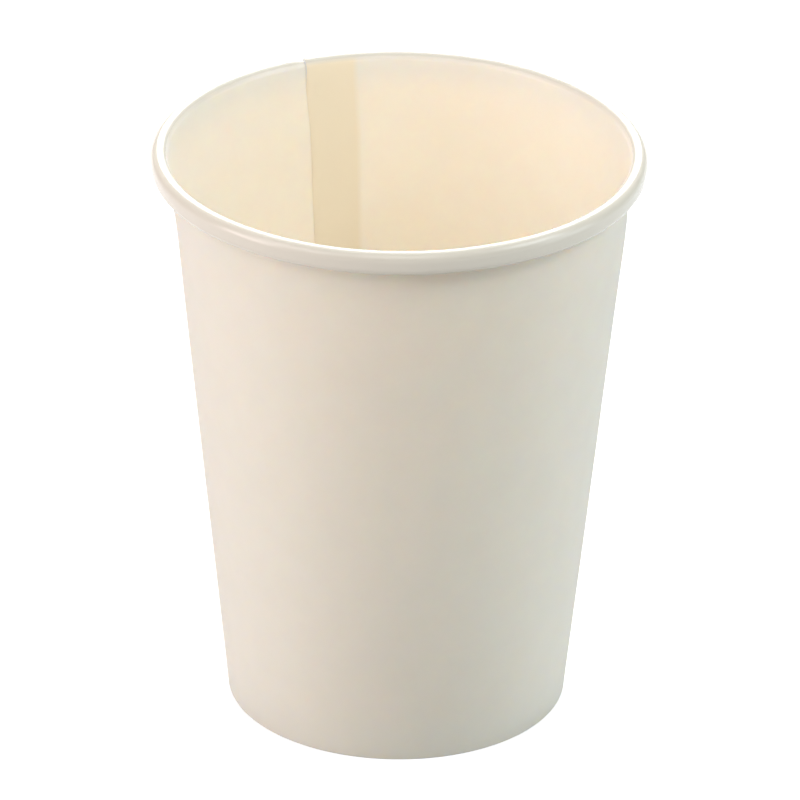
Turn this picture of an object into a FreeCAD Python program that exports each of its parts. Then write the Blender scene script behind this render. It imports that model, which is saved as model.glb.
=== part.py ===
import FreeCAD, Part
import math
import os

# A plain single-wall paper coffee cup, in millimetres.
#
# It is made of two pieces of coated board. The side wall is one fan-shaped blank wrapped into a cone.
# Its two straight ends lap in a side seam, its top edge is rolled outwards into the drinking rim, and
# its bottom edge is folded inwards and up as a hem. The base is a flat disc with a turned-down skirt,
# pushed up into the cone, and its skirt is gripped between the wall and the hem.
#
# The origin is the centre of the circle that the cup stands on. +Z is up, along the cup's axis.

# Overall size
CUP_HEIGHT = 109.0
RIM_OUTER_DIAMETER = 90.0
# Across the outside of the wall, where its slope meets the surface that the cup stands on.
FOOT_DIAMETER = 62.5

# Board
WALL_BOARD = 0.35
BASE_BOARD = 0.30

# Rolled rim: the forming tool presses the roll taller than wide, so that straight flanks join its round
# top to its round bottom. Its tail turns up again behind the roll's front, and the core stays hollow.
RIM_CORE_RADIUS = 0.12
RIM_FLANK_HEIGHT = 1.3
RIM_TAIL_CURL = 45.0
RIM_TAIL_CLEARANCE = 0.05

# Side seam: the inner end of the blank shows inside the cup as a step at SEAM_AZIMUTH, and the outer
# end lies clockwise from it, by the width of the lap at the mouth.
SEAM_AZIMUTH = 114.6
SEAM_LAP_WIDTH = 9.6
# Beside each end the board needs this width to step over the other layer.
SEAM_RAMP_WIDTH = 2.4

# Hem at the foot
HEM_HEIGHT = 5.6
FOLD_INNER_RADIUS = 0.08

# Base disc
BASE_HEIGHT = 7.5
BASE_BEND_RADIUS = 0.55
SKIRT_CLEARANCE = 0.02
SKIRT_END_CLEARANCE = 0.25

# The gap between wall and hem holds the base's skirt with a clearance on each of its sides.
SKIRT_GAP = BASE_BOARD + 2 * SKIRT_CLEARANCE
# At the seam the roll holds four layers beside its core: two of the wall and two of the tail.
RIM_ROLL_RADIUS = RIM_CORE_RADIUS + 4 * WALL_BOARD + RIM_TAIL_CLEARANCE
RIM_TAIL_RADIUS = RIM_CORE_RADIUS + 2 * WALL_BOARD
MOUTH_RADIUS = RIM_OUTER_DIAMETER / 2 - 2 * RIM_ROLL_RADIUS
SEAM_LAP_ANGLE = math.degrees(SEAM_LAP_WIDTH / MOUTH_RADIUS)
SEAM_RAMP_ANGLE = math.degrees(SEAM_RAMP_WIDTH / MOUTH_RADIUS)

ORIGIN = FreeCAD.Vector(0, 0, 0)
UP = FreeCAD.Vector(0, 0, 1)


def wall_slope():
    """Lean of the wall from upright, in radians: its outside passes the foot and is tangent to the roll."""
    foot_to_roll_x = RIM_OUTER_DIAMETER / 2 - RIM_ROLL_RADIUS - FOOT_DIAMETER / 2
    foot_to_roll_z = CUP_HEIGHT - RIM_ROLL_RADIUS
    distance = math.hypot(foot_to_roll_x, foot_to_roll_z)
    lean_to_roll = math.atan2(foot_to_roll_x, foot_to_roll_z)
    return lean_to_roll - math.asin((RIM_ROLL_RADIUS - WALL_BOARD) / distance)


SLOPE = wall_slope()
SLOPE_DEGREES = math.degrees(SLOPE)
# Unit directions of the wall's section in the x-z plane: out of the cup, and up along the wall.
OUTWARD = FreeCAD.Vector(math.cos(SLOPE), 0, -math.sin(SLOPE))
UPWARD = FreeCAD.Vector(math.sin(SLOPE), 0, math.cos(SLOPE))
FACING_RIGHT = 0.0
FACING_DOWN_THE_WALL = -90.0 - SLOPE_DEGREES


def walk_fold(start, heading, moves, offset):
    """Edges of one face of a folded sheet in the x-z plane.

    The sheet's first face starts at a point and follows straights ("straight", length) and bends
    ("bend", radius, degrees), where a left turn is positive. Offset is how far the wanted face lies
    to the right of the first one, so it is wider round a left bend and tighter round a right one.
    """
    edges = []
    direction = math.radians(heading)
    to_right = FreeCAD.Vector(math.sin(direction), 0, -math.cos(direction))
    point = start + to_right * offset
    for kind, size, *turn in moves:
        ahead = FreeCAD.Vector(math.cos(direction), 0, math.sin(direction))
        if kind == "straight":
            end = point + ahead * size
            edges.append(Part.makeLine(point, end))
        else:
            sign = math.copysign(1, turn[0])
            radius = size + sign * offset
            to_left = FreeCAD.Vector(-math.sin(direction), 0, math.cos(direction))
            centre = point + to_left * sign * radius
            middle_direction = direction + math.radians(turn[0]) / 2
            direction += math.radians(turn[0])
            middle = point_on_bend(centre, radius, sign, middle_direction)
            end = point_on_bend(centre, radius, sign, direction)
            edges.append(Part.Arc(point, middle, end).toShape())
        point = end
    return edges


def point_on_bend(centre, radius, sign, direction):
    """Point of a bend where the sheet heads in a direction, in radians."""
    to_right = FreeCAD.Vector(math.sin(direction), 0, -math.cos(direction))
    return centre + to_right * sign * radius


def wall_section(fold_raise):
    """Start, heading and moves of the wall board's lining face, from the hem's end to the rim's tail.

    At the seam the inner layer's fold sits inside the outer layer's, so it is raised by one board.
    """
    fold_centre_z = WALL_BOARD + FOLD_INNER_RADIUS + fold_raise
    lining_to_centre = FOLD_INNER_RADIUS + WALL_BOARD
    outer_centre_x = FOOT_DIAMETER / 2 + (fold_centre_z * math.sin(SLOPE) - lining_to_centre) / math.cos(SLOPE)
    outer_centre = FreeCAD.Vector(outer_centre_x, 0, fold_centre_z)
    land = (SKIRT_GAP - 2 * FOLD_INNER_RADIUS) / math.cos(SLOPE)
    inner_centre = outer_centre - FreeCAD.Vector(land, 0, 0)
    hem_straight = HEM_HEIGHT - fold_raise / math.cos(SLOPE)
    start = inner_centre - OUTWARD * FOLD_INNER_RADIUS + UPWARD * hem_straight
    roll_centre = FreeCAD.Vector(RIM_OUTER_DIAMETER / 2 - RIM_ROLL_RADIUS, 0, CUP_HEIGHT - RIM_ROLL_RADIUS)
    wall_straight = (roll_centre - outer_centre).dot(UPWARD)
    moves = [
        ("straight", hem_straight),
        ("bend", FOLD_INNER_RADIUS, 90 + SLOPE_DEGREES),
        ("straight", land),
        ("bend", FOLD_INNER_RADIUS, 90 - SLOPE_DEGREES),
        ("straight", wall_straight),
        ("bend", RIM_ROLL_RADIUS, -180),
        ("straight", RIM_FLANK_HEIGHT),
        ("bend", RIM_ROLL_RADIUS, -90),
        ("bend", RIM_TAIL_RADIUS, -90),
        ("straight", RIM_FLANK_HEIGHT),
        ("bend", RIM_TAIL_RADIUS, -RIM_TAIL_CURL),
    ]
    return start, FACING_DOWN_THE_WALL, moves


def turned(edges, azimuth):
    """Copies of edges turned about the cup's axis."""
    copies = [edge.copy() for edge in edges]
    for edge in copies:
        edge.rotate(ORIGIN, UP, azimuth)
    return copies


def cap_edge(near_edges, far_edges, last):
    """The straight cut end of a sheet, between its two faces, at their first or last point."""
    near = near_edges[-1].lastVertex(True) if last else near_edges[0].firstVertex(True)
    far = far_edges[-1].lastVertex(True) if last else far_edges[0].firstVertex(True)
    return Part.makeLine(near.Point, far.Point)


def layer_edges(near_edges, far_edges):
    """All edges round one layer of the sheet: its two faces and its two cut ends."""
    start_cap = cap_edge(near_edges, far_edges, False)
    end_cap = cap_edge(near_edges, far_edges, True)
    return near_edges + far_edges + [start_cap, end_cap]


def section_face(near_edges, far_edges):
    """Flat face that fills one layer of the sheet, cut through the cup's axis."""
    loop = Part.Wire(Part.__sortEdges__(layer_edges(near_edges, far_edges)))
    return Part.Face(loop)


def swept_faces(edges, azimuth, angle):
    """Faces that edges of the section leave when they are turned about the cup's axis."""
    return [edge.revolve(ORIGIN, UP, angle) for edge in turned(edges, azimuth)]


def ruled_faces(edges, azimuth, next_edges, next_azimuth):
    """Faces that join a section at one azimuth to the matching section at another."""
    pairs = zip(turned(edges, azimuth), turned(next_edges, next_azimuth))
    return [Part.makeRuledSurface(first, second) for first, second in pairs]


def closed_solid(faces):
    """Faces sewn edge to edge into one solid."""
    shell = Part.makeShell(faces)
    shell.sewShape()
    solid = Part.makeSolid(shell.Shells[0] if shell.Shells else shell)
    if solid.Volume < 0:
        solid.reverse()
    return solid


def side_wall():
    """The wrapped blank: cone, side seam, rolled rim and folded hem in one piece."""
    plain = [walk_fold(*wall_section(0), offset) for offset in (0, WALL_BOARD)]
    lapped = [walk_fold(*wall_section(WALL_BOARD), layer * WALL_BOARD) for layer in (0, 1, 2)]
    plain_layer = layer_edges(plain[0], plain[1])
    inner_layer = layer_edges(lapped[0], lapped[1])
    outer_layer = layer_edges(lapped[1], lapped[2])

    # Going up in azimuth: the inner end's ramp, the lap, the outer end's ramp, and the plain wall.
    lap_start = SEAM_AZIMUTH - SEAM_LAP_ANGLE
    inner_ramp_start = lap_start - SEAM_RAMP_ANGLE
    outer_ramp_end = SEAM_AZIMUTH + SEAM_RAMP_ANGLE
    plain_angle = 360 - (outer_ramp_end - inner_ramp_start)

    lap_skin = lapped[0] + lapped[2]
    for last in (False, True):
        lap_skin.append(cap_edge(lapped[0], lapped[1], last))
        lap_skin.append(cap_edge(lapped[1], lapped[2], last))

    faces = swept_faces(plain_layer, outer_ramp_end, plain_angle)
    faces += ruled_faces(plain_layer, inner_ramp_start, inner_layer, lap_start)
    faces += swept_faces(lap_skin, lap_start, SEAM_LAP_ANGLE)
    faces += ruled_faces(outer_layer, SEAM_AZIMUTH, plain_layer, outer_ramp_end)
    outer_step = section_face(lapped[1], lapped[2])
    outer_step.rotate(ORIGIN, UP, lap_start)
    inner_step = section_face(lapped[0], lapped[1])
    inner_step.rotate(ORIGIN, UP, SEAM_AZIMUTH)
    return closed_solid(faces + [outer_step, inner_step])


def base_disc():
    """The flat base with its skirt, which reaches down between the wall and the hem."""
    top_bend_radius = BASE_BEND_RADIUS + BASE_BOARD
    bend_centre_z = BASE_HEIGHT - top_bend_radius
    lining_to_centre = WALL_BOARD + SKIRT_CLEARANCE + top_bend_radius
    bend_centre_x = FOOT_DIAMETER / 2 + (bend_centre_z * math.sin(SLOPE) - lining_to_centre) / math.cos(SLOPE)
    bend_end = FreeCAD.Vector(bend_centre_x, 0, bend_centre_z) + OUTWARD * top_bend_radius
    # At the seam two folds lie under the skirt's edge.
    skirt_end_z = 2 * WALL_BOARD + SKIRT_END_CLEARANCE
    moves = [
        ("straight", bend_centre_x),
        ("bend", top_bend_radius, -90 - SLOPE_DEGREES),
        ("straight", (bend_end.z - skirt_end_z) / math.cos(SLOPE)),
    ]
    start = FreeCAD.Vector(0, 0, BASE_HEIGHT)
    top = walk_fold(start, FACING_RIGHT, moves, 0)
    underside = walk_fold(start, FACING_RIGHT, moves, BASE_BOARD)
    return section_face(top, underside).revolve(ORIGIN, UP, 360)


def main():
    os.makedirs("parts", exist_ok=True)
    pieces = {"side_wall": side_wall(), "base_disc": base_disc()}
    for name, shape in pieces.items():
        shape.exportStep(os.path.join("parts", name + ".step"))
        print(name, shape.ShapeType, "valid", shape.isValid(), "volume", round(shape.Volume, 2))


main()
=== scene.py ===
import math

import bpy
from bpy.props import FloatProperty, FloatVectorProperty, PointerProperty
from mathutils import Matrix, Vector


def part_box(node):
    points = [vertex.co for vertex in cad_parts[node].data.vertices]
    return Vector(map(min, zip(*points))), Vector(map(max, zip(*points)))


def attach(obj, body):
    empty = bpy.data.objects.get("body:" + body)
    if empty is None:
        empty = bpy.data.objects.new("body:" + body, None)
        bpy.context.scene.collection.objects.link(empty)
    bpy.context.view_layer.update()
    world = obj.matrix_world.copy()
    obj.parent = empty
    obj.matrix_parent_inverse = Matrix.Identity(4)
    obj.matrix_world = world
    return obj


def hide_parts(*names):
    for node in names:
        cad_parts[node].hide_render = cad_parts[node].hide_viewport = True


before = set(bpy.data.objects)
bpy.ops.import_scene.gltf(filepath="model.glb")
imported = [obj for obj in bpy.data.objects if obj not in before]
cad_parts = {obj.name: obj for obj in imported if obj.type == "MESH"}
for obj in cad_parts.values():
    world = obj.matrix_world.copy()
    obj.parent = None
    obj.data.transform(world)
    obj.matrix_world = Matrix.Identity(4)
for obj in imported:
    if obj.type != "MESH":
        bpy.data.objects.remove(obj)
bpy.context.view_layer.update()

bl_info = {
    "name": "Paper coffee cup",
    "version": (1, 0, 0),
    "blender": (4, 5, 0),
    "location": "View3D > Sidebar > Cup",
    "description": "Models a plain single-wall paper coffee cup and the stage it stands on",
    "category": "Add Mesh",
}

wall_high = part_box("side_wall")[1]
base_low, base_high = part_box("base_disc")
UP = Vector((0, 0, 1))


class CupSizes(bpy.types.PropertyGroup):
    """Sizes of the cup, of its board and of what the forming machine leaves on it."""

    height: FloatProperty(
        name="Height", description="From the table to the top of the rim",
        default=round(wall_high.z, 4), unit="LENGTH")
    rim_diameter: FloatProperty(
        name="Rim Diameter", description="Across the outside of the rolled rim",
        default=round(2 * wall_high.x, 4), unit="LENGTH")
    foot_diameter: FloatProperty(
        name="Foot Diameter", description="Across the wall's outside, where its slope meets the table",
        default=0.0625, unit="LENGTH")
    wall_board: FloatProperty(
        name="Wall Board", description="Thickness of the side wall's board",
        default=0.00035, unit="LENGTH")
    roll_core_radius: FloatProperty(
        name="Roll Core Radius", description="Radius of the hollow in the rim's roll at the seam",
        default=0.00012, unit="LENGTH")
    roll_flank_height: FloatProperty(
        name="Roll Flank Height", description="Straight flank between the roll's round top and bottom",
        default=0.0013, unit="LENGTH")
    roll_tail_curl: FloatProperty(
        name="Roll Tail Curl", description="How far the end of the roll's tail turns away from the wall",
        default=math.radians(45), subtype="ANGLE")
    roll_tail_clearance: FloatProperty(
        name="Roll Tail Clearance", description="Gap between the wall and the roll's tail at the seam",
        default=0.00005, unit="LENGTH")
    seam_azimuth: FloatProperty(
        name="Seam Azimuth", description="Where the blank's inner end shows inside the cup",
        default=math.radians(114.6), subtype="ANGLE")
    seam_lap_width: FloatProperty(
        name="Seam Lap Width", description="Width of the two overlapping layers at the mouth",
        default=0.0096, unit="LENGTH")
    seam_ramp_width: FloatProperty(
        name="Seam Ramp Width", description="Width in which the board steps over its other end",
        default=0.0024, unit="LENGTH")
    seam_glue: FloatProperty(
        name="Seam Glue", description="Gap that the sealed coating fills between the seam's layers",
        default=0.000008, unit="LENGTH")
    seam_press: FloatProperty(
        name="Seam Press", description="How much thinner the clamp presses the board at the seam's inner end",
        default=0.00031, unit="LENGTH")
    hem_height: FloatProperty(
        name="Hem Height", description="Straight part of the hem, from the fold to its cut edge",
        default=0.0056, unit="LENGTH")
    fold_inner_radius: FloatProperty(
        name="Fold Inner Radius", description="Radius inside the fold at the foot",
        default=0.00008, unit="LENGTH")
    knurl_depth: FloatProperty(
        name="Knurl Depth", description="Depth of the press marks that seal the hem",
        default=0.00009, unit="LENGTH")
    base_board: FloatProperty(
        name="Base Board", description="Thickness of the base's board",
        default=0.0003, unit="LENGTH")
    base_height: FloatProperty(
        name="Base Height", description="From the table to the top of the base",
        default=round(base_high.z, 4), unit="LENGTH")
    base_bend_radius: FloatProperty(
        name="Base Bend Radius", description="Radius inside the bend between the base and its skirt",
        default=0.00055, unit="LENGTH")
    skirt_clearance: FloatProperty(
        name="Skirt Clearance", description="Gap between the skirt and the board on each of its sides",
        default=0.00002, unit="LENGTH")
    skirt_end: FloatProperty(
        name="Skirt End", description="Height of the skirt's cut edge above the table",
        default=base_low.z, unit="LENGTH")
    wave_height: FloatProperty(
        name="Wave Height", description="Height of the slight waves in the free wall",
        default=0.00022, unit="LENGTH")
    rim_lean: FloatProperty(
        name="Rim Lean",
        description="How far the rim's centre lies to the right of the foot's. To the left is negative",
        default=-0.0005, unit="LENGTH")
    rim_wave_height: FloatProperty(
        name="Rim Wave Height", description="Height of the rim's slight rise and fall",
        default=0.00020, unit="LENGTH")


class CupFinish(bpy.types.PropertyGroup):
    """Colours and surface values of the board."""

    board_colour: FloatVectorProperty(
        name="Board", description="Uncoated outside of the board",
        default=(0.796, 0.768, 0.673), subtype="COLOR", size=3, min=0, max=1)
    board_shade_colour: FloatVectorProperty(
        name="Board Mottle", description="Slightly darker patches between the board's fibres",
        default=(0.784, 0.756, 0.661), subtype="COLOR", size=3, min=0, max=1)
    lining_colour: FloatVectorProperty(
        name="Lining", description="Coated inside of the board",
        default=(0.920, 0.863, 0.770), subtype="COLOR", size=3, min=0, max=1)
    lining_shade_colour: FloatVectorProperty(
        name="Lining Mottle", description="Slightly darker patches seen through the coating",
        default=(0.912, 0.853, 0.758), subtype="COLOR", size=3, min=0, max=1)
    # Painted shade: a darker, more orange lining colour over the seam's lap stands in for the light that its
    # two layers keep out.
    seam_shade_colour: FloatVectorProperty(
        name="Seam", description="Lining over the seam's two layers, which let no light through",
        default=(0.935, 0.815, 0.61), subtype="COLOR", size=3, min=0, max=1)
    # Painted shade: the roll's colour is darker than the lining it is made of, and stands in for the shade on
    # its outside and below its crest.
    rim_shade_colour: FloatVectorProperty(
        name="Rim", description="Lining on the rim's roll, whose layers let no light through",
        default=(0.722, 0.678, 0.583), subtype="COLOR", size=3, min=0, max=1)
    cut_edge_colour: FloatVectorProperty(
        name="Cut Edge", description="Bare fibres at the board's cut edges",
        default=(0.90, 0.86, 0.77), subtype="COLOR", size=3, min=0, max=1)
    board_roughness: FloatProperty(
        name="Board Roughness", description="Roughness of the uncoated board", default=0.78, min=0, max=1)
    lining_roughness: FloatProperty(
        name="Lining Roughness", description="Roughness of the coated lining", default=0.42, min=0, max=1)
    rim_roughness: FloatProperty(
        name="Rim Roughness", description="Roughness of the lining on the roll, which the tool polishes",
        default=0.23, min=0, max=1)
    see_through_depth: FloatProperty(
        name="See-through Depth", description="How deep light goes into the board",
        default=0.0003, unit="LENGTH")


class StageSettings(bpy.types.PropertyGroup):
    """Camera, lamps and floor."""

    view_distance: FloatProperty(
        name="View Distance", description="From the camera to the point that it looks at",
        default=1.50, unit="LENGTH")
    view_height: FloatProperty(
        name="View Height", description="Height of the point on the cup's axis that the camera looks at",
        default=0.055, unit="LENGTH")
    view_elevation: FloatProperty(
        name="View Elevation", description="How far the camera looks down",
        default=math.radians(26.59), subtype="ANGLE")
    view_roll: FloatProperty(
        name="View Roll", description="How far the camera is turned about its line of sight",
        default=math.radians(0.65), subtype="ANGLE")
    lens: FloatProperty(
        name="Lens", description="Focal length in millimetres for a sensor 36 mm wide", default=367.1)
    shift_x: FloatProperty(name="Shift X", description="Sideways shift of the picture", default=0.0011)
    shift_y: FloatProperty(name="Shift Y", description="Upward shift of the picture", default=0.0196)
    floor_size: FloatProperty(
        name="Floor Size", description="Width of the floor", default=8.0, unit="LENGTH")
    floor_grey: FloatProperty(
        name="Floor Grey", description="How much of the light on it the floor sends back",
        default=0.5, min=0, max=1)
    floor_glow: FloatProperty(
        name="Floor Glow", description="Light added to the floor where it is seen, so that it looks white",
        default=0.7)
    left_lamp_power: FloatProperty(
        name="Left Lamp", description="Power of the warm lamp at the upper left, in watts", default=4.25)
    low_left_lamp_power: FloatProperty(
        name="Low Left Lamp", description="Power of the low warm lamp at the left, in watts", default=4.45)
    right_lamp_power: FloatProperty(
        name="Right Lamp", description="Power of the cool lamp at the upper right, in watts", default=4.4)
    low_right_lamp_power: FloatProperty(
        name="Low Right Lamp", description="Power of the low cool lamp at the right, in watts", default=2.25)
    back_lamp_power: FloatProperty(
        name="Back Lamp", description="Power of the large lamp above and behind the cup, in watts",
        default=4.9)
    far_back_lamp_power: FloatProperty(
        name="Far Back Lamp", description="Power of the lamp farther behind the cup, in watts", default=8.7)
    front_lamp_power: FloatProperty(
        name="Front Lamp", description="Power of the weak lamp above the camera, in watts", default=2.8)
    world_strength: FloatProperty(
        name="World Strength", description="Strength of the even light from all round", default=0.10)


class SectionPen:
    """Draws a folded board's section as edges, in an upright half plane that starts at the cup's axis."""

    def __init__(self, name, azimuth, radius, height, heading):
        self.plane = Matrix.Rotation(azimuth, 3, "Z")
        self.point = Vector((radius, 0, height))
        self.heading = heading
        bpy.ops.object.select_all(action="DESELECT")
        bpy.ops.mesh.primitive_plane_add(size=0.001)
        self.piece = bpy.context.object
        self.piece.name = name
        self.piece.data.name = name
        bpy.ops.object.mode_set(mode="EDIT")
        bpy.ops.mesh.select_mode(type="VERT")
        bpy.ops.mesh.merge(type="CENTER")
        bpy.ops.transform.translate(value=self.plane @ self.point)

    def ahead(self):
        return Vector((math.cos(self.heading), 0, math.sin(self.heading)))

    def to_left(self):
        return Vector((-math.sin(self.heading), 0, math.cos(self.heading)))

    def straight(self, length, cuts):
        """Extrudes the section straight on, in equal cuts."""
        step = self.plane @ self.ahead() * (length / cuts)
        for _ in range(cuts):
            bpy.ops.mesh.extrude_region_move(TRANSFORM_OT_translate={"value": step})
        self.point = self.point + self.ahead() * length

    def bend(self, radius, turn, steps):
        """Spins the section's end round a bend. A left turn is positive."""
        to_centre = self.to_left() * math.copysign(radius, turn)
        centre = self.point + to_centre
        bpy.ops.mesh.spin(
            steps=steps, angle=turn, center=self.plane @ centre, axis=self.plane @ Vector((0, 1, 0)))
        self.heading += turn
        self.point = centre - self.to_left() * math.copysign(radius, turn)

    def rows(self):
        """Ends edit mode for a moment to count the section's points."""
        bpy.ops.object.mode_set(mode="OBJECT")
        count = len(self.piece.data.vertices)
        bpy.ops.object.mode_set(mode="EDIT")
        return count


def sweep_round(turn, steps):
    """Spins the selected section anticlockwise about the cup's axis."""
    bpy.ops.mesh.spin(steps=steps, angle=turn, center=(0, 0, 0), axis=-UP)


def roll_radius(sizes):
    """Radius of the rim's roll, which at the seam holds four layers of board beside its core."""
    return sizes.roll_core_radius + 4 * sizes.wall_board + sizes.roll_tail_clearance


def mouth_radius(sizes):
    """Radius of the mouth, inside the rim's roll."""
    return sizes.rim_diameter / 2 - 2 * roll_radius(sizes)


def wall_top(sizes):
    """Height just under the rim's roll, where the plain wall ends."""
    return sizes.height - 3 * roll_radius(sizes)


def wall_slope(sizes):
    """Lean of the wall: its outside passes the foot and is tangent to the rim's roll."""
    roll = roll_radius(sizes)
    across = (sizes.rim_diameter - sizes.foot_diameter) / 2 - roll
    rise = sizes.height - roll
    lean_to_roll = math.atan2(across, rise)
    return lean_to_roll - math.asin((roll - sizes.wall_board) / math.hypot(across, rise))


def select_vertices(piece, wanted):
    """Selects the vertices of a piece, in object mode, for which wanted(vertex) is true."""
    mesh = piece.data
    for edge in mesh.edges:
        edge.select = False
    for polygon in mesh.polygons:
        polygon.select = False
    for vertex in mesh.vertices:
        vertex.select = wanted(vertex)


def apply_modifiers(piece):
    """Applies the modifiers of a piece in order."""
    bpy.context.view_layer.objects.active = piece
    for modifier in list(piece.modifiers):
        bpy.ops.object.modifier_apply(modifier=modifier.name)


def fill_group(piece, name, weights):
    """Makes a vertex group from a list of one weight for each vertex."""
    group = piece.vertex_groups.new(name=name)
    for index, weight in enumerate(weights):
        if weight > 0:
            group.add([index], weight, "REPLACE")


def face_sheet(piece, towards):
    """Gives a sheet one outside, turned so that its largest face points as towards(centre) says."""
    bpy.ops.mesh.select_all(action="SELECT")
    bpy.ops.mesh.normals_make_consistent(inside=False)
    bpy.ops.object.mode_set(mode="OBJECT")
    largest = max(piece.data.polygons, key=lambda polygon: polygon.area)
    if largest.normal.dot(towards(largest.center)) < 0:
        bpy.ops.object.mode_set(mode="EDIT")
        bpy.ops.mesh.select_all(action="SELECT")
        bpy.ops.mesh.flip_normals()
        bpy.ops.object.mode_set(mode="OBJECT")


def smooth_step(value, low, high):
    """0 below low, 1 above high and a soft rise between."""
    share = min(max((value - low) / (high - low), 0.0), 1.0)
    return share * share * (3 - 2 * share)


# Side wall

HEM_CUTS = 8
FOLD_STEPS = 6
WALL_CUTS = 30
ROLL_STEPS = 10
FLANK_CUTS = 3
TAIL_STEPS = 6
RAMP_COLUMNS = 3
KNURL_COLUMNS = 3

# The base holds the wall up to the first multiple of its own height, and past the second the wall is free.
HELD_SHARE = 1.6
FREE_SHARE = 6.4
# Heights below the roll from which the roll calms the wall's waves, and from which the rim leans over.
CALM_HEIGHT = 0.012
LEAN_HEIGHT = 0.010
WALL_WAVE_SIZE = 0.028
RIM_WAVE_SIZE = 0.022


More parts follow.
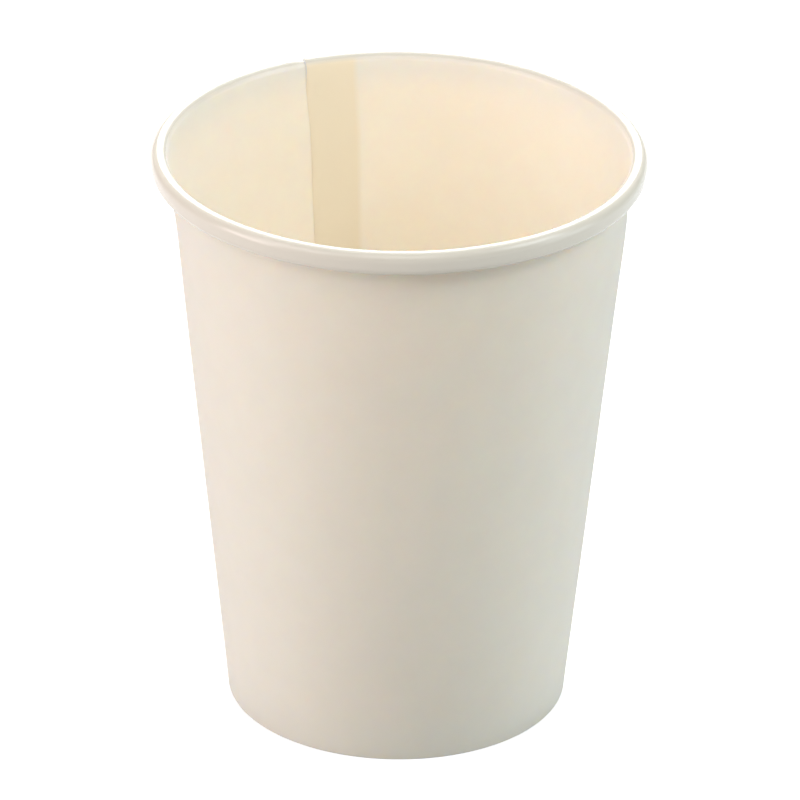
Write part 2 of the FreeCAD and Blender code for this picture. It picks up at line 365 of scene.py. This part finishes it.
class CUP_OT_side_wall(bpy.types.Operator):
    """Wraps the wall's blank into a cone, laps its seam, rolls its rim and folds its hem"""

    bl_idname = "cup.side_wall"
    bl_label = "Side Wall"

    def execute(self, context):
        sizes = context.scene.cup_sizes
        board = sizes.wall_board
        roll = roll_radius(sizes)
        slope = wall_slope(sizes)
        lap_angle = sizes.seam_lap_width / mouth_radius(sizes)
        ramp_angle = sizes.seam_ramp_width / mouth_radius(sizes)
        column_angle = ramp_angle / RAMP_COLUMNS
        lap_columns = round(lap_angle / column_angle)
        plain_angle = 2 * math.pi - lap_angle - 2 * ramp_angle
        plain_columns = round(plain_angle / column_angle)

        # The lining's section, from the hem's cut edge to the end of the roll's tail.
        fold = sizes.fold_inner_radius
        fold_height = board + fold
        outer_centre = (
            sizes.foot_diameter / 2 + (fold_height * math.sin(slope) - fold - board) / math.cos(slope))
        skirt_gap = sizes.base_board + 2 * sizes.skirt_clearance
        land = (skirt_gap - 2 * fold) / math.cos(slope)
        hem_top_radius = outer_centre - land - fold * math.cos(slope) + sizes.hem_height * math.sin(slope)
        hem_top_height = fold_height + fold * math.sin(slope) + sizes.hem_height * math.cos(slope)
        across = sizes.rim_diameter / 2 - roll - outer_centre
        rise = sizes.height - roll - fold_height
        wall_length = across * math.sin(slope) + rise * math.cos(slope)

        lap_start = sizes.seam_azimuth - lap_angle
        right_angle = math.pi / 2
        pen = SectionPen("cup_side_wall", lap_start, hem_top_radius, hem_top_height, -right_angle - slope)
        pen.straight(sizes.hem_height, HEM_CUTS)
        pen.bend(fold, right_angle + slope, FOLD_STEPS)
        pen.straight(land, 1)
        pen.bend(fold, right_angle - slope, FOLD_STEPS)
        pen.straight(wall_length, WALL_CUTS)
        pen.bend(roll, -2 * right_angle, 2 * ROLL_STEPS)
        pen.straight(sizes.roll_flank_height, FLANK_CUTS)
        pen.bend(roll, -right_angle, ROLL_STEPS)
        tail = sizes.roll_core_radius + 2 * board
        pen.bend(tail, -right_angle, TAIL_STEPS)
        pen.straight(sizes.roll_flank_height, FLANK_CUTS)
        pen.bend(tail, -sizes.roll_tail_curl, TAIL_STEPS // 2)
        rows = pen.rows()
        piece = pen.piece

        bpy.ops.mesh.select_all(action="SELECT")
        sweep_round(lap_angle, lap_columns)
        sweep_round(ramp_angle, RAMP_COLUMNS)
        sweep_round(plain_angle, plain_columns)
        sweep_round(ramp_angle, RAMP_COLUMNS)
        sweep_round(lap_angle, lap_columns)
        face_sheet(piece, lambda centre: Vector((-centre.x, -centre.y, 0)))

        columns = len(piece.data.vertices) // rows
        shares = [lap_share(column, columns, lap_columns) for column in range(columns)]
        lift = board + sizes.seam_glue
        raise_folds(piece, rows, shares, slope, lift / math.cos(slope), fold_height + fold)
        self.lay_outer_layer(piece, rows, shares, lift)
        self.wave_board(piece, sizes)
        thicken_sheet(piece, board, wall_lining_material(context.scene.cup_finish))
        self.press_inner_end(piece, rows, columns, sizes)
        knurl_hem(piece, rows, sizes)
        finish_piece(piece, "side_wall")
        return {"FINISHED"}

    def lay_outer_layer(self, piece, rows, shares, lift):
        """Lifts the first columns outwards, over the blank's other end."""
        half = len(shares) // 2
        weights = [
            shares[vertex.index // rows] if vertex.index // rows < half else 0.0
            for vertex in piece.data.vertices]
        fill_group(piece, "outer_layer", weights)
        lap = piece.modifiers.new("lap", "DISPLACE")
        lap.vertex_group = "outer_layer"
        lap.direction = "NORMAL"
        lap.mid_level = 0
        lap.strength = -lift
        apply_modifiers(piece)

    def press_inner_end(self, piece, rows, columns, sizes):
        """Presses the blank's inner end thin, so that its cut edge shows as a fine line."""
        top = wall_top(sizes)
        select_vertices(
            piece, lambda v: v.index // rows == columns - 1 and sizes.base_height < v.co.z < top)
        widen = 1 + sizes.seam_press / mouth_radius(sizes)
        bpy.ops.object.mode_set(mode="EDIT")
        bpy.ops.transform.resize(value=(widen, widen, 1), center_override=(0, 0, 0))
        bpy.ops.object.mode_set(mode="OBJECT")
        select_vertices(piece, lambda v: v.index // rows == columns - 1 and v.co.z >= top)
        bpy.ops.object.mode_set(mode="EDIT")
        bpy.ops.transform.shrink_fatten(value=-sizes.seam_press)
        bpy.ops.object.mode_set(mode="OBJECT")

    def wave_board(self, piece, sizes):
        """Gives the free wall slight waves, and the rim a slight rise and fall and a lean to one side."""
        heights = [vertex.co.z for vertex in piece.data.vertices]
        top = wall_top(sizes)
        held = HELD_SHARE * sizes.base_height
        free = FREE_SHARE * sizes.base_height
        fill_group(piece, "free_wall", [
            smooth_step(z, held, free) * (1 - smooth_step(z, top - CALM_HEIGHT, top)) for z in heights])
        fill_group(piece, "upper_wall", [smooth_step(z, sizes.height / 2, top) for z in heights])
        fill_group(piece, "rim", [smooth_step(z, top - LEAN_HEIGHT, top) for z in heights])
        waves = (
            ("wall_waves", "free_wall", "NORMAL", WALL_WAVE_SIZE, sizes.wave_height),
            ("rim_waves", "upper_wall", "Z", RIM_WAVE_SIZE, sizes.rim_wave_height),
        )
        for name, group, direction, size, height in waves:
            clouds = bpy.data.textures.new(name, "CLOUDS")
            clouds.noise_scale = size
            clouds.noise_depth = 1
            wave = piece.modifiers.new(name, "DISPLACE")
            wave.texture = clouds
            wave.texture_coords = "LOCAL"
            wave.vertex_group = group
            wave.direction = direction
            wave.mid_level = 0.5
            wave.strength = height
        lean = piece.modifiers.new("lean", "DISPLACE")
        lean.vertex_group = "rim"
        lean.direction = "X"
        lean.mid_level = 0
        lean.strength = sizes.rim_lean
        apply_modifiers(piece)


def lap_share(column, columns, lap_columns):
    """How far a column has climbed over the blank's other end: 1 in the lap, 0 past the ramp."""
    from_end = min(column, columns - 1 - column)
    return min(max((lap_columns + RAMP_COLUMNS - from_end) / RAMP_COLUMNS, 0.0), 1.0)


def raise_folds(piece, rows, shares, slope, rise, fold_top):
    """Lifts the fold at the foot where two layers lie in each other, so that both stand on the table."""
    mesh = piece.data
    for column, share in enumerate(shares):
        if share == 0:
            continue
        first = column * rows
        azimuth = math.atan2(mesh.vertices[first].co.y, mesh.vertices[first].co.x)
        up_wall = Matrix.Rotation(azimuth, 3, "Z") @ Vector((math.sin(slope), 0, math.cos(slope)))
        select_vertices(
            piece, lambda v: first <= v.index < first + rows and v.co.z < fold_top)
        bpy.ops.object.mode_set(mode="EDIT")
        bpy.ops.transform.translate(value=up_wall * rise * share)
        bpy.ops.object.mode_set(mode="OBJECT")


def thicken_sheet(piece, board, lining):
    """Gives a sheet its thickness behind its lined side, and the outside and the cut edges their finishes."""
    finish = bpy.context.scene.cup_finish
    for material in (lining, board_material(finish), cut_edge_material(finish)):
        piece.data.materials.append(material)
    solidify = piece.modifiers.new("board", "SOLIDIFY")
    solidify.thickness = board
    solidify.offset = -1
    solidify.use_even_offset = True
    solidify.use_quality_normals = True
    solidify.material_offset = 1
    solidify.material_offset_rim = 2
    apply_modifiers(piece)


def knurl_hem(piece, rows, sizes):
    """Presses a ring of upright grooves into the face of the hem that shows in the foot's recess."""
    sheet_count = len(piece.data.vertices) // 2
    groove_low = 3 * sizes.wall_board
    groove_high = sizes.hem_height
    radius = sizes.foot_diameter / 2
    slope = wall_slope(sizes)

    def in_groove(vertex):
        if vertex.index < sheet_count or not groove_low < vertex.co.z < groove_high:
            return False
        column = (vertex.index - sheet_count) // rows
        near_axis = vertex.co.xy.length < radius - 2 * sizes.wall_board + vertex.co.z * math.tan(slope)
        return column % KNURL_COLUMNS == 0 and near_axis

    select_vertices(piece, in_groove)
    widen = 1 + sizes.knurl_depth / radius
    bpy.ops.object.mode_set(mode="EDIT")
    bpy.ops.transform.resize(value=(widen, widen, 1), center_override=(0, 0, 0))
    bpy.ops.object.mode_set(mode="OBJECT")


def finish_piece(piece, node):
    """Smooths the piece's shading and lets it stand for its node."""
    bpy.ops.object.select_all(action="DESELECT")
    piece.select_set(True)
    bpy.context.view_layer.objects.active = piece
    bpy.ops.object.shade_smooth_by_angle(angle=math.radians(40))
    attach(piece, "root")
    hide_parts(node)


# Base disc

BASE_RINGS = 16
BASE_BEND_STEPS = 8
SKIRT_CUTS = 6
BASE_COLUMNS = 256


class CUP_OT_base_disc(bpy.types.Operator):
    """Presses the base from a round blank: a flat disc with its edge turned down as a skirt"""

    bl_idname = "cup.base_disc"
    bl_label = "Base Disc"

    def execute(self, context):
        sizes = context.scene.cup_sizes
        slope = wall_slope(sizes)
        bend = sizes.base_bend_radius + sizes.base_board
        bend_height = sizes.base_height - bend
        lining_to_centre = sizes.wall_board + sizes.skirt_clearance + bend
        flat_radius = (
            sizes.foot_diameter / 2 + (bend_height * math.sin(slope) - lining_to_centre) / math.cos(slope))
        skirt_length = (bend_height - bend * math.sin(slope) - sizes.skirt_end) / math.cos(slope)

        pen = SectionPen("cup_base_disc", 0, 0, sizes.base_height, 0)
        pen.straight(flat_radius, BASE_RINGS)
        pen.bend(bend, -math.pi / 2 - slope, BASE_BEND_STEPS)
        pen.straight(skirt_length, SKIRT_CUTS)
        piece = pen.piece
        bpy.ops.mesh.select_all(action="SELECT")
        sweep_round(2 * math.pi, BASE_COLUMNS)
        bpy.ops.mesh.select_all(action="SELECT")
        bpy.ops.mesh.remove_doubles(threshold=1e-6)
        face_sheet(piece, lambda centre: UP)

        thicken_sheet(piece, sizes.base_board, base_lining_material(context.scene.cup_finish))
        finish_piece(piece, "base_disc")
        return {"FINISHED"}


# Materials

# Features for each metre, and the depth of their relief in metres.
BOARD_MOTTLE = 170
BOARD_MOTTLE_DEPTH = 0.00004
BOARD_FIBRES = 2600
BOARD_FIBRE_DEPTH = 0.000012
LINING_MOTTLE = 210
LINING_MOTTLE_DEPTH = 0.00003
ORANGE_PEEL = 900
ORANGE_PEEL_DEPTH = 0.00001
EDGE_FIBRES = 5200
EDGE_FIBRE_DEPTH = 0.00004
# Levels of a noise between which one colour turns into the other, and the same for roughness.
MOTTLE_LEVELS = (0.35, 0.65)
FINE_LEVELS = (0.3, 0.7)
# How far the roughness varies to either side, and what the bare fibres at a cut edge have.
BOARD_ROUGHNESS_SPREAD = 0.06
COAT_ROUGHNESS_SPREAD = 0.05
EDGE_ROUGHNESS = 0.95
# Brightness of the cut edge's darker fibres, and the share of the lining's relief left on the roll.
EDGE_SHADE = 0.88
ROLL_RELIEF = 0.1
# Depth of red, green and blue light in the board, in shares of the setting.
SCATTER_SHARES = (1.0, 0.85, 0.6)
# In shares of the roll's radius: how far below the top the crest starts and is full, and how far
# outside its middle line the roll's outside is full.
CREST_START = 0.7
CREST_FULL = 0.2
OUTSIDE_FULL = 0.3
# Width of the soft edge of the seam's painted shade, where the seam's outer end lies behind the lining.
SEAM_BLUR = 0.0012


def new_material(name):
    """A node material, with its nodes and its shader."""
    material = bpy.data.materials.new(name)
    material.use_nodes = True
    return material, material.node_tree, material.node_tree.nodes["Principled BSDF"]


def add_node(tree, kind, **values):
    """A node with some of its settings and its inputs set by name."""
    node = tree.nodes.new(kind)
    for key, value in values.items():
        if key in node.inputs:
            node.inputs[key].default_value = value
        else:
            setattr(node, key, value)
    return node


def noise(tree, place, scale, detail):
    """A noise texture on the piece's own coordinates. Scale is in features for each metre."""
    texture = add_node(tree, "ShaderNodeTexNoise", Scale=scale, Detail=detail)
    tree.links.new(place.outputs["Object"], texture.inputs["Vector"])
    return texture.outputs["Fac"]


# Places of the mix node's colour sockets.
MIX_FIRST = 6
MIX_SECOND = 7
MIX_RESULT = 2


def blend_colours(tree, factor, first, second):
    """Mixes two colours, or colour outputs, by a factor output."""
    mix = add_node(tree, "ShaderNodeMix", data_type="RGBA")
    tree.links.new(factor, mix.inputs["Factor"])
    for socket, value in ((mix.inputs[MIX_FIRST], first), (mix.inputs[MIX_SECOND], second)):
        if isinstance(value, bpy.types.NodeSocket):
            tree.links.new(value, socket)
        else:
            socket.default_value = (*value, 1)
    return mix.outputs[MIX_RESULT]


def spread(tree, factor, low, high, to_low, to_high):
    """Stretches the range low..high of a factor to another range, and cuts off what lies outside."""
    stretch = add_node(tree, "ShaderNodeMapRange")
    for key, value in (("From Min", low), ("From Max", high), ("To Min", to_low), ("To Max", to_high)):
        stretch.inputs[key].default_value = value
    tree.links.new(factor, stretch.inputs["Value"])
    return stretch.outputs["Result"]


def calculate(tree, operation, first, second):
    """A math node on outputs or numbers."""
    node = add_node(tree, "ShaderNodeMath", operation=operation)
    for socket, value in zip(node.inputs, (first, second)):
        if isinstance(value, bpy.types.NodeSocket):
            tree.links.new(value, socket)
        else:
            socket.default_value = value
    return node.outputs[0]


def add_relief(tree, shader, layers, share=None):
    """Chains bump nodes: each layer is a height output, its depth in metres and its strength.

    Share is an output by which every layer's strength is multiplied.
    """
    normal = None
    for height, depth, strength in layers:
        bump = add_node(tree, "ShaderNodeBump", Strength=strength, Distance=depth)
        tree.links.new(height, bump.inputs["Height"])
        if share is not None:
            tree.links.new(calculate(tree, "MULTIPLY", share, strength), bump.inputs["Strength"])
        if normal is not None:
            tree.links.new(normal, bump.inputs["Normal"])
        normal = bump.outputs["Normal"]
    tree.links.new(normal, shader.inputs["Normal"])


def let_light_through(shader, depth):
    """Lets light scatter through the thin board, less of it in blue."""
    shader.subsurface_method = "RANDOM_WALK"
    shader.inputs["Subsurface Weight"].default_value = 1.0
    shader.inputs["Subsurface Radius"].default_value = SCATTER_SHARES
    shader.inputs["Subsurface Scale"].default_value = depth


def board_material(finish):
    """Uncoated board: matt, with soft mottling and fine fibres."""
    material, tree, shader = new_material("board_outside")
    place = add_node(tree, "ShaderNodeTexCoord")
    mottle = noise(tree, place, BOARD_MOTTLE, 5)
    fibres = noise(tree, place, BOARD_FIBRES, 3)
    patches = spread(tree, mottle, *MOTTLE_LEVELS, 0, 1)
    tree.links.new(
        blend_colours(tree, patches, finish.board_colour, finish.board_shade_colour),
        shader.inputs["Base Color"])
    tree.links.new(
        spread(tree, fibres, *FINE_LEVELS, finish.board_roughness - BOARD_ROUGHNESS_SPREAD,
               finish.board_roughness + BOARD_ROUGHNESS_SPREAD),
        shader.inputs["Roughness"])
    add_relief(tree, shader, ((mottle, BOARD_MOTTLE_DEPTH, 0.5), (fibres, BOARD_FIBRE_DEPTH, 0.6)))
    let_light_through(shader, finish.see_through_depth)
    return material


def wall_lining_material(finish):
    """Coated lining of the wall. The seam and the roll let no light through and get painted shade colours,
    and the roll is polished.
    """
    material, tree, shader = new_material("wall_lining")
    place = add_node(tree, "ShaderNodeTexCoord")
    split = add_node(tree, "ShaderNodeSeparateXYZ")
    tree.links.new(place.outputs["Object"], split.inputs[0])
    on_roll = roll_share(tree, split)
    off_roll = spread(tree, on_roll, 0, 1, 1, 0)
    on_seam = seam_band(tree, split)
    off_seam = spread(tree, on_seam, 0, 1, 1, 0)
    coat_colour, satin, layers = satin_coat(tree, place, finish)
    # Painted shade over the seam's lap.
    inside = blend_colours(tree, on_seam, coat_colour, finish.seam_shade_colour)
    # Painted shade on the roll.
    tree.links.new(blend_colours(tree, on_roll, inside, finish.rim_shade_colour), shader.inputs["Base Color"])
    tree.links.new(
        calculate(tree, "ADD", calculate(tree, "MULTIPLY", satin, off_roll),
                  calculate(tree, "MULTIPLY", on_roll, finish.rim_roughness)),
        shader.inputs["Roughness"])
    add_relief(tree, shader, layers, spread(tree, on_roll, 0, 1, 1, ROLL_RELIEF))
    let_light_through(shader, finish.see_through_depth)
    tree.links.new(calculate(tree, "MULTIPLY", off_roll, off_seam), shader.inputs["Subsurface Weight"])
    return material


def base_lining_material(finish):
    """Coated lining of the base: the same all over."""
    material, tree, shader = new_material("base_lining")
    coat_colour, satin, layers = satin_coat(tree, add_node(tree, "ShaderNodeTexCoord"), finish)
    tree.links.new(coat_colour, shader.inputs["Base Color"])
    tree.links.new(satin, shader.inputs["Roughness"])
    add_relief(tree, shader, layers)
    let_light_through(shader, finish.see_through_depth)
    return material


def satin_coat(tree, place, finish):
    """Colour, roughness and relief layers of the coating, which is smoother than the board's outside."""
    mottle = noise(tree, place, LINING_MOTTLE, 4)
    orange_peel = noise(tree, place, ORANGE_PEEL, 2)
    patches = spread(tree, mottle, *MOTTLE_LEVELS, 0, 1)
    colour = blend_colours(tree, patches, finish.lining_colour, finish.lining_shade_colour)
    satin = spread(
        tree, orange_peel, *FINE_LEVELS, finish.lining_roughness - COAT_ROUGHNESS_SPREAD,
        finish.lining_roughness + COAT_ROUGHNESS_SPREAD)
    return colour, satin, ((mottle, LINING_MOTTLE_DEPTH, 0.4), (orange_peel, ORANGE_PEEL_DEPTH, 0.4))


def roll_share(tree, split):
    """Mask of the roll's painted shade and polish: 1 on the rim's crest and on the outside of its roll, and 0
    inside the cup.
    """
    sizes = bpy.context.scene.cup_sizes
    roll = roll_radius(sizes)
    crest_radius = sizes.rim_diameter / 2 - roll
    level = add_node(tree, "ShaderNodeCombineXYZ")
    from_axis = add_node(tree, "ShaderNodeVectorMath", operation="LENGTH")
    tree.links.new(split.outputs["X"], level.inputs["X"])
    tree.links.new(split.outputs["Y"], level.inputs["Y"])
    tree.links.new(level.outputs[0], from_axis.inputs[0])
    on_crest = spread(
        tree, split.outputs["Z"], sizes.height - CREST_START * roll, sizes.height - CREST_FULL * roll, 0, 1)
    outside = spread(
        tree, from_axis.outputs["Value"], crest_radius, crest_radius + OUTSIDE_FULL * roll, 0, 1)
    return calculate(tree, "MAXIMUM", on_crest, outside)


def seam_band(tree, split):
    """Mask of the seam's painted shade and of where no light goes through: 1 over the seam's lap and 0 beside
    it, sharp at the inner end, soft where the outer end lies behind.
    """
    sizes = bpy.context.scene.cup_sizes
    mouth = mouth_radius(sizes)
    lap_start = sizes.seam_azimuth - sizes.seam_lap_width / mouth
    soft = SEAM_BLUR / mouth
    top = wall_top(sizes)
    lean = spread(tree, split.outputs["Z"], top - LEAN_HEIGHT, top, 0, sizes.rim_lean)
    across = calculate(tree, "SUBTRACT", split.outputs["X"], lean)
    azimuth = calculate(tree, "ARCTAN2", split.outputs["Y"], across)
    past_start = spread(tree, azimuth, lap_start - soft / 2, lap_start + soft / 2, 0, 1)
    before_end = spread(tree, azimuth, sizes.seam_azimuth, sizes.seam_azimuth + soft / 8, 1, 0)
    return calculate(tree, "MULTIPLY", past_start, before_end)


def cut_edge_material(finish):
    """Bare fibres at the board's cut edges."""
    material, tree, shader = new_material("cut_edge")
    place = add_node(tree, "ShaderNodeTexCoord")
    fibres = noise(tree, place, EDGE_FIBRES, 4)
    darker = [EDGE_SHADE * channel for channel in finish.cut_edge_colour]
    tree.links.new(
        blend_colours(tree, spread(tree, fibres, *MOTTLE_LEVELS, 0, 1), finish.cut_edge_colour, darker),
        shader.inputs["Base Color"])
    shader.inputs["Roughness"].default_value = EDGE_ROUGHNESS
    add_relief(tree, shader, ((fibres, EDGE_FIBRE_DEPTH, 1.0),))
    let_light_through(shader, finish.see_through_depth)
    return material


# Stage

class CUP_OT_stage(bpy.types.Operator):
    """Sets up the floor, the soft lamps, the pale world and the camera"""

    bl_idname = "cup.stage"
    bl_label = "Stage"

    def execute(self, context):
        stage = context.scene.cup_stage
        add_floor(stage)
        add_world(stage)
        aim = Vector((0, 0, stage.view_height))
        # Each lamp's name, place, width, power and colour.
        lamps = (
            ("left_lamp", (-0.75, -0.55, 0.75), 0.7, stage.left_lamp_power, (1.035, 0.973, 0.995)),
            ("low_left_lamp", (-0.95, -0.35, 0.20), 0.5, stage.low_left_lamp_power, (1.085, 0.96, 0.96)),
            ("right_lamp", (0.80, -0.25, 0.80), 0.5, stage.right_lamp_power, (0.93, 1.02, 1.055)),
            ("low_right_lamp", (0.95, -0.15, 0.20), 0.5, stage.low_right_lamp_power, (0.94, 1.0, 1.065)),
            ("back_lamp", (0.0, 0.65, 0.85), 0.8, stage.back_lamp_power, (1.0, 1.0, 1.0)),
            ("far_back_lamp", (0.0, 0.95, 0.60), 0.6, stage.far_back_lamp_power, (0.985, 1.005, 1.01)),
            ("front_lamp", (0.0, -0.65, 1.0), 0.6, stage.front_lamp_power, (1.01, 1.015, 0.975)),
        )
        for name, place, size, power, colour in lamps:
            add_lamp(name, Vector(place), aim, size, power, colour)
        add_camera(stage, aim)
        return {"FINISHED"}


def add_floor(stage):
    """A large pale floor: white to the camera except for the cup's soft shadow."""
    bpy.ops.object.select_all(action="DESELECT")
    bpy.ops.mesh.primitive_plane_add(size=stage.floor_size)
    floor = bpy.context.object
    floor.name = "floor"
    material, tree, shader = new_material("pale_floor")
    shader.inputs["Base Color"].default_value = (stage.floor_grey, stage.floor_grey, stage.floor_grey, 1)
    shader.inputs["Roughness"].default_value = 0.9
    shader.inputs["Specular IOR Level"].default_value = 0.0
    seen = add_node(tree, "ShaderNodeLightPath")
    glow = add_node(tree, "ShaderNodeEmission")
    both = add_node(tree, "ShaderNodeAddShader")
    shown = calculate(tree, "MAXIMUM", seen.outputs["Is Camera Ray"], seen.outputs["Is Glossy Ray"])
    tree.links.new(calculate(tree, "MULTIPLY", shown, stage.floor_glow), glow.inputs["Strength"])
    tree.links.new(shader.outputs[0], both.inputs[0])
    tree.links.new(glow.outputs[0], both.inputs[1])
    tree.links.new(both.outputs[0], tree.nodes["Material Output"].inputs["Surface"])
    floor.data.materials.append(material)


def add_world(stage):
    """Even light from all round, and pure white where the camera sees it."""
    world = bpy.data.worlds.new("pale_world")
    bpy.context.scene.world = world
    world.use_nodes = True
    tree = world.node_tree
    background = tree.nodes["Background"]
    seen = add_node(tree, "ShaderNodeLightPath")
    shown = calculate(tree, "MAXIMUM", seen.outputs["Is Camera Ray"], seen.outputs["Is Transmission Ray"])
    tree.links.new(
        spread(tree, shown, 0, 1, stage.world_strength, 1), background.inputs["Strength"])
    background.inputs["Color"].default_value = (1, 1, 1, 1)


def add_lamp(name, place, aim, size, power, colour):
    """A square soft lamp that faces the cup."""
    bpy.ops.object.light_add(type="AREA", location=place)
    lamp = bpy.context.object
    lamp.name = name
    lamp.rotation_euler = (aim - place).to_track_quat("-Z", "Y").to_euler()
    lamp.data.size = size
    lamp.data.energy = power
    lamp.data.color = colour
    lamp.visible_camera = False


def add_camera(stage, aim):
    """The photo's view: straight at the cup's axis from the front, and from above."""
    lift = stage.view_elevation
    back = Vector((0, -math.cos(lift), math.sin(lift)))
    right = Vector((1, 0, 0))
    up = Vector((0, math.sin(lift), math.cos(lift)))
    across = right * math.cos(stage.view_roll) + up * math.sin(stage.view_roll)
    upright = up * math.cos(stage.view_roll) - right * math.sin(stage.view_roll)
    bpy.ops.object.camera_add()
    camera = bpy.context.object
    camera.name = "photo_view"
    turn = Matrix((across, upright, back)).transposed().to_4x4()
    camera.matrix_world = Matrix.Translation(aim + back * stage.view_distance) @ turn
    camera.data.lens = stage.lens
    camera.data.sensor_width = 36
    camera.data.shift_x = stage.shift_x
    camera.data.shift_y = stage.shift_y
    bpy.context.scene.camera = camera


class CUP_PT_sidebar(bpy.types.Panel):
    """The cup's sizes, finishes and stage, and the operators that build them"""

    bl_idname = "CUP_PT_sidebar"
    bl_label = "Paper Cup"
    bl_space_type = "VIEW_3D"
    bl_region_type = "UI"
    bl_category = "Cup"

    def draw(self, context):
        groups = (
            (context.scene.cup_sizes, (CUP_OT_side_wall, CUP_OT_base_disc)),
            (context.scene.cup_finish, ()),
            (context.scene.cup_stage, (CUP_OT_stage,)),
        )
        for settings, operators in groups:
            box = self.layout.box()
            for name in settings.bl_rna.properties.keys():
                if name not in ("rna_type", "name"):
                    box.prop(settings, name)
            for operator in operators:
                box.operator(operator.bl_idname)


CLASSES = (
    CupSizes,
    CupFinish,
    StageSettings,
    CUP_OT_side_wall,
    CUP_OT_base_disc,
    CUP_OT_stage,
    CUP_PT_sidebar,
)


def register():
    for item in CLASSES:
        bpy.utils.register_class(item)
    bpy.types.Scene.cup_sizes = PointerProperty(type=CupSizes)
    bpy.types.Scene.cup_finish = PointerProperty(type=CupFinish)
    bpy.types.Scene.cup_stage = PointerProperty(type=StageSettings)


def unregister():
    del bpy.types.Scene.cup_stage
    del bpy.types.Scene.cup_finish
    del bpy.types.Scene.cup_sizes
    for item in reversed(CLASSES):
        bpy.utils.unregister_class(item)


def main():
    register()
    bpy.context.scene.view_settings.view_transform = "Standard"
    bpy.ops.cup.side_wall()
    bpy.ops.cup.base_disc()
    bpy.ops.cup.stage()


if __name__ == "__main__":
    main()
